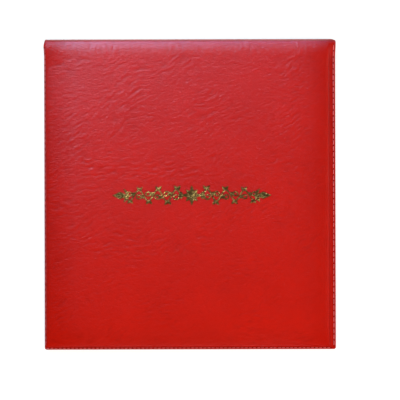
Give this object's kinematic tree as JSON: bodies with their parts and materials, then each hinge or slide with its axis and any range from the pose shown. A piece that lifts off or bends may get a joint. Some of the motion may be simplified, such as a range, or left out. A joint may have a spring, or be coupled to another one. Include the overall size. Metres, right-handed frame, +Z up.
{
  "type": "diploma cover",
  "caption": "Padded leatherette diploma cover that opens upwards on a soft spine, with sewn rims, a gold tooled ornament and a lined inside with corner ribbons.",
  "frame": {"origin": "centre of the closed cover's outline at the level of the table, under the back cover", "axes": "+X along the fold, to the right as seen in the picture; +Y towards the fold; +Z up out of the front cover"},
  "size_m": [0.215, 0.229, 0.0134],
  "materials": {
    "leatherette": "crushed grain, soft sheen",
    "board": "raw grey board",
    "foam": "soft open foam",
    "lining": "watered moire",
    "ribbon": "satin",
    "clear_film": "clear and glossy",
    "thread": "polyester thread",
    "gold_foil": "hot stamped foil"
  },
  "bodies": {
    "back_cover": {"back_leatherette": "leatherette", "back_board": "board", "back_seam_thread": "thread", "back_lining": "lining", "clear_sheet": "clear_film", "ribbon_fold_left": "ribbon", "ribbon_fold_right": "ribbon", "ribbon_bottom_left": "ribbon", "ribbon_bottom_right": "ribbon"},
    "spine": {"spine_leatherette": "leatherette", "spine_lining": "lining"},
    "front_cover": {"front_leatherette": "leatherette", "front_board": "board", "foam_pad": "foam", "front_seam_thread": "thread", "front_lining": "lining", "gold_ornament": "gold_foil"}
  },
  "joints": [
    {"name": "spine_hinge", "type": "hinge", "parent": "back_cover", "child": "spine", "pos_m": [0, 0.1125, 0.0023], "axis": [-1, 0, 0], "range_deg": [0, 90]},
    {"name": "front_hinge", "type": "hinge", "parent": "spine", "child": "front_cover", "pos_m": [0, 0.1125, 0.0112], "axis": [-1, 0, 0], "range_deg": [0, 90]}
  ],
  "couplings": [
    {"joint": "front_hinge", "follows": "spine_hinge", "ratio": 1}
  ]
}
